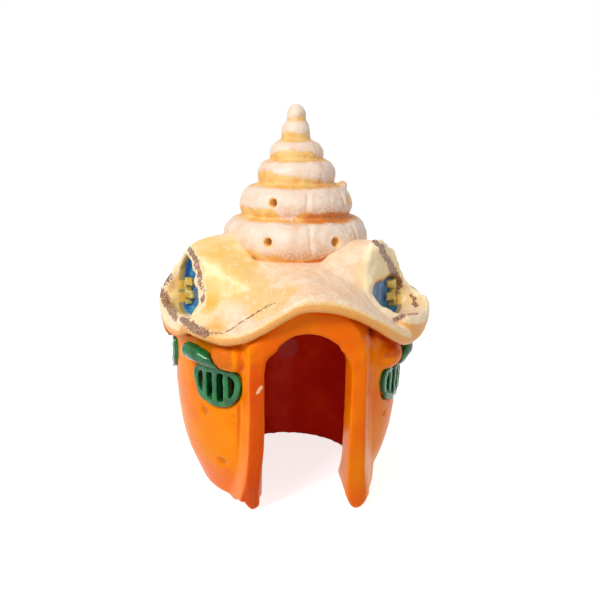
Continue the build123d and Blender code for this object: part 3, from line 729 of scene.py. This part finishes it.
def house():
    """The gourd-shaped house: worn edges, small casting pits and a red inside. Shade is painted inside, on
    the porch front, under the brim, in the pits and on the window recess floors.
    """
    skin = cast("house_body", voxel=0.6, rounding=12, name="house")
    spots = round_feet(points_of(skin))
    reshape(skin, spots)
    outward = normals_of(skin)
    x, y, z = spots.T
    from_axis = np.hypot(x - BARREL_X, y)
    away = (outward[:, 0] * (x - BARREL_X) + outward[:, 1] * y) / from_axis
    from_door = abs(x - DOOR_X)
    tunnel = ease(abs(outward[:, 0]), 0.6, 0.85) * ease(from_door, 14.5, 13.0) * ease(y, -14, -17)
    inside = ease(away, 0.1, -0.35) * ease(from_axis, 34.5, 32.5)
    inside *= ease(behind_porch(spots), 2, 5) * (1 - tunnel)
    pit, pitted = casting_pits(spots, from_axis)
    hollow, hole = window_floors(spots, from_axis, away)
    on_bump = ease(from_axis, 37.6, 38.6) * ease(z, 45, 47) * ease(z, 56, 53)
    height = lumps(spots, 7.0) * 0.12 + lumps(spots, 3.0, 2) * 0.05 + pitted
    height += on_bump * (lumps(spots, 1.5, 4) * 0.3 + lumps(spots, 0.9, 5) * 0.12)
    swell(skin, height * (1 - inside * 0.5))
    porch = ease(-outward[:, 1], 0.6, 0.85) * ease(from_door, 20.5, 19.0) * ease(y, -26, -28)
    under_brim = ease(z, 49, 56) * ease(abs(turn_from(spots, -10)), 30, 46)
    beside_porch = ease(abs(x), 19.5, 21.5)
    # painted shade: where the inside of the house is
    mark(skin, "inside", inside)
    # painted light: a pale patch inside, where light shows through the thin wall at a window
    mark(skin, "light_through_wall", inside * ease(np.hypot(x - 0.5, z - 32), 6.0, 2.0))
    # painted shade on the porch's front faces, most on the left jamb
    mark(skin, "porch", porch * (1 - inside) * (0.4 + 0.6 * ease(x, 4, -8) * ease(z, 56, 44)))
    # painted shade in the casting pits
    mark(skin, "pit", pit)
    mark(skin, "hole", hole)
    # painted shade on the floors of the window recesses
    mark(skin, "hollow", hollow)
    mark(skin, "shade", np.maximum(under_brim, on_bump * beside_porch * 0.75))
    mark(skin, "chip", ease(from_line(spots, CHIP), 0.8, 0.2))
    skin.data.materials.append(orange_gloss())


def windows():
    """Green grilles and the rolled brow over each, the paint thick and uneven."""
    enamel = green_enamel()
    for side in WINDOWS:
        grille = cast("window_grille_" + side, voxel=0.25, rounding=5)
        spots = points_of(grille)
        away = np.hypot(spots[:, 0] - BARREL_X, spots[:, 1])
        back, middle, raised, face = np.percentile(away, (20, 50, 55, 85))
        front = ease(away, raised, face)
        swell(grille, lumps(spots, 2.2, 4) * 0.22 + lumps(spots, 1.1, 3) * 0.12 + front * 0.12)
        # painted shade down the grille's back, between its bars
        mark(grille, "back_shade", ease(away, middle, back))
        mark(grille, "bare", ease(lumps(spots, 1.6, 9), 0.45, 0.7) * (1 - front))
        grille.data.materials.append(enamel)
        brow = cast("window_brow_" + side, voxel=0.3, rounding=6)
        spots = points_of(brow)
        swell(brow, lumps(spots, 3.5) * 0.3 + lumps(spots, 1.6, 3) * 0.14 - 0.28)
        mark(brow, "back_shade", np.zeros(len(spots)))
        mark(brow, "bare", ease(lumps(spots, 2.0, 9), 0.6, 0.8) * 0.6)
        brow.data.materials.append(enamel)


# ---------------------------------------------------------------- roof

def brim_low(angles):
    """Height of the brim's lower edge at each azimuth, smooth through the stated points."""
    before = [(a - 360, z) for a, z in BRIM_LOW[-3:]]
    after = [(a + 360, z) for a, z in BRIM_LOW[:3]]
    knots = np.array(before + list(BRIM_LOW) + after)
    at = np.mod(angles, 360)
    i = np.clip(np.searchsorted(knots[:, 0], at, side="right") - 1, 1, len(knots) - 3)
    (a0, z0), (a1, z1), (a2, z2), (a3, z3) = (knots[i + k].T for k in (-1, 0, 1, 2))
    t = (at - a1) / (a2 - a1)
    leaving = (z2 - z0) / (a2 - a0) * (a2 - a1)
    arriving = (z3 - z1) / (a3 - a1) * (a2 - a1)
    heights = (2 * t ** 3 - 3 * t ** 2 + 1) * z1 + (3 * t ** 2 - 2 * t ** 3) * z2
    return heights + (t ** 3 - 2 * t ** 2 + t) * leaving + (t ** 3 - t ** 2) * arriving


def skirt_mesh():
    """The wavy skirt with its rolled brim, let down under each dormer's window."""
    angles = np.arange(0, 360, 1.0)
    edge = brim_low(angles) + SKIRT_RISE
    top = []
    for radius in np.linspace(SKIRT_FROM, SKIRT_TO, num=25):
        fall = max(0.0, (radius - SKIRT_INNER) / (SKIRT_OUTER - SKIRT_INNER)) ** 1.25
        top.append((radius, SKIRT_TOP - (SKIRT_TOP - edge) * fall))
    brim_top = top[-1][1]
    roll = []
    for turn in np.radians(np.arange(60, -61, -20)):
        low = brim_top - SKIRT_THICKNESS / 2 * (1 - math.sin(turn))
        roll.append((SKIRT_TO + BRIM_ROLL * math.cos(turn), low))
    under = [(radius, height - SKIRT_THICKNESS) for radius, height in top[::-1]]
    rows = []
    for k, (radius, height) in enumerate(top + roll + under):
        sill = SKIRT_AT_SILL[0 if k < len(top) else 1]
        for angle in DORMERS.values():
            turn = np.radians((angles - angle + 180) % 360 - 180)
            across = np.abs(np.tan(np.clip(turn, -1.2, 1.2))) * radius
            near = ease(across, 9.5, 7.0) * ease(np.cos(turn), 0.2, 0.5)
            near *= ease(radius, 28.0, 30.5) * ease(radius, 41.5, 39.0)
            height = height + (np.minimum(sill, height) - height) * near
        around = np.radians(angles)
        rows.append(np.stack([radius * np.sin(around), -radius * np.cos(around), height], axis=-1))
    return grid_mesh("skirt", np.stack(rows, axis=1))


def collar_mesh():
    """The ring under the skirt that stands on the house's ledge, open at the door."""
    outer, inner, low, high = COLLAR
    angles = np.radians(np.linspace(COLLAR_FROM, 360 - COLLAR_FROM, num=97))
    section = ((outer, low), (outer, high), (inner, high), (inner, low))
    grid = np.array([[(BARREL_X + r * math.sin(a), -r * math.cos(a), z) for a in angles] for r, z in section])
    return grid_mesh("collar", grid, caps=True)


def facing(side):
    """The directions across and out of one dormer."""
    angle = math.radians(DORMERS[side])
    across = np.array([math.cos(angle), math.sin(angle), 0.0])
    out = np.array([math.sin(angle), -math.cos(angle), 0.0])
    return across, out


def in_roof(side, points):
    """Points given as across, height and out on one dormer's azimuth, in the object's own frame."""
    across, out = facing(side)
    up = np.array([0, 0, 1.0])
    points = np.asarray(points, float)
    return points[..., :1] * across + points[..., 2:] * out + points[..., 1:2] * up


def mouth_mesh(side):
    """One dormer's flared mouth: a blind recess to the pane, a rim, and the hood and lip behind it."""
    stations = np.array(MOUTHS[side], float)
    edge, crest, outside, root = (stations[:, k] for k in range(4))
    recess_end = PANE_FACES[side] - PANE_COVER
    back = edge.copy()
    back[:, 2] = recess_end
    across, height, _ = edge.mean(axis=0)
    middle = back * 0.02 + np.array([across, height, recess_end]) * 0.98
    buried = root * 0.1 + np.array(ROOF_HEART) * 0.9
    rows = smooth_through([back, edge, crest, outside, root], steps=7)
    rows = np.concatenate([[middle], rows, [buried]])
    around = smooth_through(rows.transpose(1, 0, 2), steps=9, closed=True)
    return grid_mesh("mouth_" + side, in_roof(side, around), caps=True)


# Umber brushed along the rims: half width, then the points of the stroke
UMBER = (
    # the left mouth, its lip and the brim below it
    (1.0, (-33.9, -10.8, 77.0), (-32.5, -13.7, 76.8), (-31.5, -17.4, 75.3), (-30.6, -18.6, 73.2),
     (-29.5, -20.4, 70.2), (-28.9, -21.0, 67.1), (-28.6, -22.3, 64.7), (-29.5, -22.4, 63.5)),
    (1.3, (-39.7, -6.3, 67.6), (-41.6, -6.5, 65.6)),
    (1.6, (-42.7, -7.3, 63.0), (-41.5, -7.8, 61.5), (-40.4, -10.9, 60.0)),
    (1.2, (-40.4, -10.9, 60.0), (-38.7, -17.2, 59.4), (-36.9, -22.1, 58.2)),
    (1.5, (-34.7, -24.7, 58.5), (-32.5, -28.1, 57.6), (-30.2, -31.2, 56.7), (-27.9, -33.2, 56.6)),
    (0.3, (-27.9, -33.2, 56.6), (-22.9, -36.0, 57.3), (-18.5, -35.3, 59.9), (-15.2, -35.8, 62.1),
     (-11.9, -36.2, 64.3), (-9.0, -37.2, 65.9)),
    # the right mouth and its lip
    (1.8, (21.7, -23.3, 80.1), (23.3, -21.7, 78.3), (24.9, -20.2, 76.0), (27.1, -18.0, 72.9),
     (28.6, -16.1, 70.0), (30.4, -13.0, 66.9), (30.9, -12.6, 65.2)),
    (0.9, (23.3, -22.1, 67.9), (25.4, -19.9, 66.5), (26.8, -19.4, 65.7)),
    (0.7, (34.8, -15.5, 62.3), (35.6, -17.2, 61.7), (34.9, -17.8, 60.6), (35.5, -20.1, 60.2)),
    (0.9, (26.1, -30.7, 58.8), (28.3, -30.3, 59.8), (31.9, -24.6, 58.9), (33.8, -25.4, 59.1)),
    # the rear mouth and its lip
    (1.1, (-4.2, 33.5, 77.0), (1.5, 35.0, 75.5), (4.8, 35.5, 71.5), (6.5, 35.6, 66.5)),
    (1.3, (-8.5, 41.5, 61.0), (-2.0, 42.5, 59.0), (6.0, 42.0, 60.0)),
)
# Where the yellow wash ran down the front left, and where it lies deep: middle and radius
YELLOW_RUN = ((-23.9, -17.4, 77.4), (-18.2, -23.5, 72.5), (-17.0, -28.5, 66.5), (-9.0, -34.5, 66.5))
DEEP_POOLS = (
    ((-27.0, -24.6, 63.2), 4.2), ((30.5, -20.0, 62.0), 4.0),
    ((-25.0, -33.0, 58.0), 4.5), ((6.0, 37.0, 62.0), 4.0),
)
# The side of each recess that the slats stand on, and their heights
FAR_SIDE = {"left": -1, "right": 1, "rear": 1}
SLAT_HEIGHTS = (60.9, 64.8)


def in_recess(side, spots):
    """Where a dormer's recess is, how deep each point lies in it, and its far side."""
    across, out = facing(side)
    along, far_out = spots @ across, spots @ out
    edge = smooth_through(np.array(MOUTHS[side], float)[:, 0], steps=4, closed=True)
    middle = edge.mean(axis=0)
    edge_x, edge_y = edge[:, 0] - middle[0], edge[:, 1] - middle[1]
    x, y = along - middle[0], spots[:, 2] - middle[1]
    around, at = np.arctan2(edge_y, edge_x), np.arctan2(y, x)
    width = np.interp(at, around, np.hypot(edge_x, edge_y), period=2 * math.pi)
    level = np.interp(at, around, edge[:, 2], period=2 * math.pi)
    recess = ease(np.hypot(x, y) - width, 1.2, 0.2) * (far_out > 27) * ease(far_out, level + 0.9, level + 0.1)
    return recess, level - far_out, ease(along * FAR_SIDE[side], 1.0, 3.5)


def recess_paint(spots):
    """The lighter rim of each mouth, the teal and the bars in its recess, and the paler jamb on their side.
    """
    rim, teal, jamb, bars = (np.zeros(len(spots)) for _ in range(4))
    for side in DORMERS:
        crest = in_roof(side, smooth_through(np.array(MOUTHS[side], float)[:, 1], steps=3, closed=True))
        rim = np.maximum(rim, ease(from_line(spots, np.vstack([crest, crest[:1]])), 3.0, 0.8))
        recess, depth, far_side = in_recess(side, spots)
        nearest = np.min([abs(spots[:, 2] - height) for height in SLAT_HEIGHTS], axis=0)
        bar = recess * far_side * ease(nearest, 1.7, 1.1)
        bars = np.maximum(bars, bar)
        teal = np.maximum(teal, recess * ease(depth, 0.7, 1.5) * (1 - bar))
        jamb = np.maximum(jamb, recess * ease(depth, 1.9, 1.0) * far_side * (1 - bar))
    return rim, teal, jamb, bars


def yellow_pools(spots):
    """Where the yellow wash has run and lies thin, and where it lies deep."""
    pool = ease(from_line(spots, YELLOW_RUN) + lumps(spots, 6.0, 7) * 3.5, 9.0, 2.0)
    round_the_back = ease(abs(turn_from(spots, 10)), 40, 60)
    pool = np.maximum(pool, ease(lumps(spots, 11.0, 7), 0.35, 0.8) * round_the_back)
    deep = np.zeros(len(spots))
    for middle, radius in DEEP_POOLS:
        far = np.linalg.norm(spots - middle, axis=1) + lumps(spots, 3.0, 13) * 1.6
        deep = np.maximum(deep, ease(far, radius * 1.2, 0))
    return pool, deep


def umber_strokes(spots):
    """Where the umber is brushed on, each stroke with an uneven edge."""
    umber = np.zeros(len(spots))
    for width, *stroke in UMBER:
        far = from_line(spots, stroke) + lumps(spots, 1.3, 11) * 0.3 * width
        umber = np.maximum(umber, ease(far, width * 1.25, width * 0.5))
    return umber


def mantle():
    """The shell roof: skirt, collar and three dormer mouths cast as one."""
    meshes = [skirt_mesh(), collar_mesh()] + [mouth_mesh(side) for side in DORMERS]
    skin = cast("roof_mantle", voxel=0.5, rounding=14, name="mantle", mesh=joined("roof", meshes))
    spots = points_of(skin)
    facing_up = normals_of(skin)[:, 2]
    radius = np.hypot(spots[:, 0], spots[:, 1])
    rim, teal, jamb, bars = recess_paint(spots)
    uneven = lumps(spots, 9.0) * 0.25 + lumps(spots, 4.0, 2) * 0.14 + lumps(spots, 1.6, 3) * 0.05
    swell(skin, uneven + rim * (lumps(spots, 3.2, 8) * 0.85 + lumps(spots, 1.6, 9) * 0.5))
    settled = points_of(skin)
    reach = np.hypot(settled[:, 0], settled[:, 1])
    pressed = np.minimum(reach, BRIM_REACH + (reach - BRIM_REACH) * 0.3)
    settled[:, :2] *= (pressed / reach)[:, None]
    reshape(skin, settled)
    pool, deep = yellow_pools(spots)
    mark(skin, "dust", ease(facing_up, 0.1, 0.7) * ease(abs(turn_from(spots, 12)), 80, 20))
    mark(skin, "pool", pool)
    mark(skin, "deep", deep)
    # amber on the faces that turn down: partly the base colour, partly painted shade
    mark(skin, "amber", ease(facing_up, 0.5, -0.4) * ease(radius, 36, 40) + ease(facing_up, 0.1, -0.4))
    mark(skin, "grime", ease(radius, 36, 41) * 0.4 + 0.25)
    mark(skin, "rim", rim)
    mark(skin, "jamb", jamb)
    mark(skin, "teal", teal)
    mark(skin, "bars", bars)
    mark(skin, "umber", umber_strokes(spots))
    skin.data.materials.append(shell_wash())


# By the height of each crease: azimuths, and how far the amber reaches above it there
AMBER = {
    73.8: ((-95, 3.6), (-40, 3.2), (-18, 2.0), (-8, 1.2), (20, 1.4), (34, 2.6), (70, 2.6), (90, 4.5),
           (105, 2.5)),
    85.8: ((-95, 2.6), (-60, 3.4), (-28, 3.0), (-20, 0.3), (-8, 0.3), (0, 2.6), (32, 2.2), (60, 1.4),
           (100, 0.8)),
    95.5: ((-90, 3.0), (-62, 4.6), (-30, 3.2), (0, 2.6), (30, 2.2), (38, 0.8), (80, 0.8)),
    103.1: ((-90, 1.4), (-40, 2.4), (10, 3.0), (32, 2.4), (45, 0.6), (90, 0.6)),
    109.2: ((-90, 1.6), (-40, 2.2), (0, 1.8), (25, 2.2), (50, 0.6), (90, 0.6)),
    115.2: ((-90, 0.4), (0, 0.6), (30, 1.2), (90, 0.5)),
}
# Azimuths of the short grooves in the two lowest whorls
GROOVES = (-85, -40, 6, 51, 96, 141, 186, 231)
# The burr at the right of a whorl, and how far its tip is drawn out
BURR = (13.6, -4.5, 94.8)
BURR_PULL = (1.1, 0.0, 1.5)


def amber_creases(spots):
    """The amber lying unevenly in the creases, partly bare base colour and partly painted shade, and the low
    part of each whorl above them.
    """
    turn = turn_from(spots, 0)
    amber, low_part = np.zeros(len(spots)), np.zeros(len(spots))
    for crease, reach in AMBER.items():
        thick = np.interp(turn, *np.array(reach, float).T) * 0.95 + lumps(spots, 3.0, 12) * 0.6
        above = spots[:, 2] - crease
        amber = np.maximum(amber, ease(above, thick + 1.2, thick - 0.9) * ease(above, -1.2, 0.2))
        low_part = np.maximum(low_part, ease(above, 5.5, 2.0) * ease(above, -1.5, 0.0))
    return amber, low_part


def short_grooves(spots, radius):
    """The height of the grooves down the two lowest whorls, each with a soft ridge beside it."""
    z = spots[:, 2]
    whorls = ease(z, 75.0, 76.5) * ease(z, 94.5, 93.0) * ease(abs(z - 85.8), 1.0, 2.2)
    height = np.zeros(len(spots))
    for angle in GROOVES:
        near = whorls * (np.cos(np.radians(turn_from(spots, angle))) > 0.5)
        across = round_to(spots, radius, angle) + lumps(spots, 4.0, 6) * 0.7
        height += (0.12 * ease(abs(across - 1.3), 1.1, 0.2) - 0.42 * ease(abs(across), 0.8, 0.1)) * near
    return height


def port_mouths(spots, z, radius):
    """The paler paint round each bubble port, by the height and radius that the points had before wear."""
    port = np.zeros(len(spots))
    for angle, level in PORTS:
        turn = math.radians(angle)
        side = spots[:, 0] * math.sin(turn) - spots[:, 1] * math.cos(turn) > 8
        far = np.hypot(round_to(spots, radius, angle), z - level)
        port = np.maximum(port, np.where(side, ease(far, 2.1, 1.2), 0))
    return port


def spire():
    """The whorled spire: worn creases, short grooves and a burr."""
    skin = cast("shell_spire", voxel=0.45, rounding=6, name="spire")
    spots = points_of(skin)
    z = spots[:, 2]
    radius = np.hypot(spots[:, 0], spots[:, 1])
    turn = turn_from(spots, 0)
    amber, low_part = amber_creases(spots)
    rough = ease(turn, -25, 30) * ease(turn, 150, 100)
    height = lumps(spots, 7.0) * 0.46 + lumps(spots, 2.6, 2) * 0.2
    height += lumps(spots, 1.1, 3) * (0.06 + 0.1 * rough) + short_grooves(spots, radius)
    swell(skin, height * ease(z, 119.5, 115) - 0.15 * ease(z, 117, 119))
    worn = points_of(skin)
    burr = ease(np.linalg.norm(worn - BURR, axis=1), 2.6, 0.6)
    worn += burr[:, None] * BURR_PULL
    reshape(skin, worn)
    mark(skin, "dust", (1 - amber) * (0.5 + 0.5 * ease(z, 74, 84)))
    # amber in the creases: partly the bare base colour, partly painted shade
    mark(skin, "amber", amber)
    # darker red-orange in the creases on the right side
    mark(skin, "red_in_right_creases", amber * ease(turn, -8, 12) * ease(turn, 88, 74) * ease(z, 97, 94) * 0.95)
    mark(skin, "mottle", low_part * ease(turn, -26, -12) * ease(turn, 80, 45) * ease(z, 98, 84))
    mark(skin, "blush", low_part * ease(turn, 5, 60))
    mark(skin, "grime", (0.25 + 0.75 * rough) * (0.4 + 0.6 * low_part))
    mark(skin, "port", port_mouths(worn, z, radius))
    skin.data.materials.append(spire_wash())


def dormers():
    """The blue panes, and yellow bars that thin out towards the middle of each pane."""
    blue, yellow = pane_blue(), slat_yellow()
    for side in DORMERS:
        pane = frame["nodes"]["dormer_pane_" + side]
        pane.data.materials.clear()
        pane.data.materials.append(blue)
        slats = cast("dormer_slats_" + side, voxel=0.3, rounding=9)
        spots = points_of(slats)
        across, out = facing(side)
        along, depth = spots @ across, spots @ out
        far_end = along[np.argmax(abs(along))]
        shorter = far_end + (along - far_end) * SLAT_SHARE[side]
        from_end = abs(shorter - far_end)
        thinned = 1 - 0.6 * ease(from_end, 0.5, from_end.max())
        shallower = PANE_FACES[side] + (depth - PANE_FACES[side]) * thinned
        spots += (shorter - along)[:, None] * across + (shallower - depth)[:, None] * out
        reshape(slats, spots)
        swell(slats, lumps(spots, 1.8) * 0.25 + lumps(spots, 0.8, 2) * 0.12 - 0.18)
        slats.data.materials.append(yellow)


def air_parts():
    """The inlet, riser, holder and stone inside the house."""
    clear = clear_tube()
    black = plain_plastic("black_rubber", srgb(18, 18, 18), srgb(34, 34, 34), 0.6)
    white = plain_plastic("white_plastic", srgb(214, 216, 214), srgb(232, 234, 232), 0.4)
    finishes = {
        "riser_pipe": clear, "inlet_grommet": black, "airline_inlet": white,
        "riser_clip": white, "air_stone_holder": black,
    }
    for node, material in finishes.items():
        piece = frame["nodes"][node]
        piece.data.materials.clear()
        piece.data.materials.append(material)
    stone = cast("air_stone", voxel=0.3, rounding=1)
    swell(stone, lumps(points_of(stone), 0.9) * 0.18)
    stone.data.materials.append(sintered_stone())


# ---------------------------------------------------------------- studio

def camera():
    """A close camera just left of the door, a little above the roof's brim."""
    eye = bpy.data.objects.new("camera", bpy.data.cameras.new("camera"))
    bpy.context.scene.collection.objects.link(eye)
    eye.data.lens = CAMERA_LENS
    eye.data.sensor_width = CAMERA_SENSOR
    eye.data.clip_start = CAMERA_NEAR
    pitch, heading, roll = map(math.radians, (CAMERA_PITCH, CAMERA_HEADING, CAMERA_ROLL))
    ahead, aside = math.cos(pitch) * math.cos(heading), math.cos(pitch) * math.sin(heading)
    forward = Vector((aside, ahead, -math.sin(pitch)))
    right = Vector((math.cos(heading), -math.sin(heading), 0))
    up = right.cross(forward)
    rolled_right = right * math.cos(roll) + up * math.sin(roll)
    rolled_up = up * math.cos(roll) - right * math.sin(roll)
    turned = Matrix((rolled_right, rolled_up, -forward)).transposed()
    eye.matrix_world = Matrix.Translation(CAMERA_PLACE) @ turned.to_4x4()
    bpy.context.scene.camera = eye


def softbox(name, place, aim, size, power, tint):
    """A round soft light that points at its aim."""
    lamp = bpy.data.lights.new(name, "AREA")
    lamp.shape = "DISK"
    lamp.size = size
    lamp.energy = power
    lamp.color = tint
    holder = bpy.data.objects.new(name, lamp)
    bpy.context.scene.collection.objects.link(holder)
    holder.location = place
    holder.rotation_euler = (Vector(aim) - Vector(place)).to_track_quat("-Z", "Y").to_euler()


def directly_seen(tree):
    """1 where the camera, a reflection or a view through clear plastic meets the surface."""
    ray = tree.node("LightPath").outputs
    seen = tree.math("MAXIMUM", ray["Is Camera Ray"], ray["Is Glossy Ray"])
    return tree.math("MAXIMUM", seen, ray["Is Transmission Ray"])


def white_floor():
    """A plain white floor that keeps the object's shadow."""
    mesh = bpy.data.meshes.new("floor")
    corners = [(x * FLOOR_HALF, y * FLOOR_HALF, 0) for x, y in ((-1, -1), (1, -1), (1, 1), (-1, 1))]
    mesh.from_pydata(corners, [], [(0, 1, 2, 3)])
    floor = bpy.data.objects.new("floor", mesh)
    bpy.context.scene.collection.objects.link(floor)
    floor.location.z = -FLOOR_DROP
    material, tree, shader = finish("studio_floor", 0.9, Specular_IOR_Level=0.1)
    shader.inputs["Base Color"].default_value = (FLOOR_GREY, FLOOR_GREY, FLOOR_GREY, 1)
    shader.inputs["Emission Color"].default_value = (1, 1, 1, 1)
    tree.feed(shader.inputs["Emission Strength"], tree.share(directly_seen(tree), FLOOR_GLOW))
    mesh.materials.append(material)


def white_surround():
    """An even white all round, which gives a little light."""
    world = bpy.data.worlds.new("studio")
    bpy.context.scene.world = world
    world.use_nodes = True
    tree = Tree(world.node_tree)
    back = world.node_tree.nodes["Background"]
    tree.feed(back.inputs["Strength"], tree.plus(tree.share(directly_seen(tree), WORLD_GLOW), WORLD_LIGHT))
    back.inputs["Color"].default_value = (1, 1, 1, 1)


def studio():
    """A white studio, with one large soft light at the upper left and a weak one at the right."""
    white_floor()
    white_surround()
    for name, lamp in LAMPS.items():
        softbox(name, *lamp)
    bpy.context.scene.view_settings.view_transform = "Standard"


house()
windows()
mantle()
spire()
dormers()
air_parts()
camera()
studio()
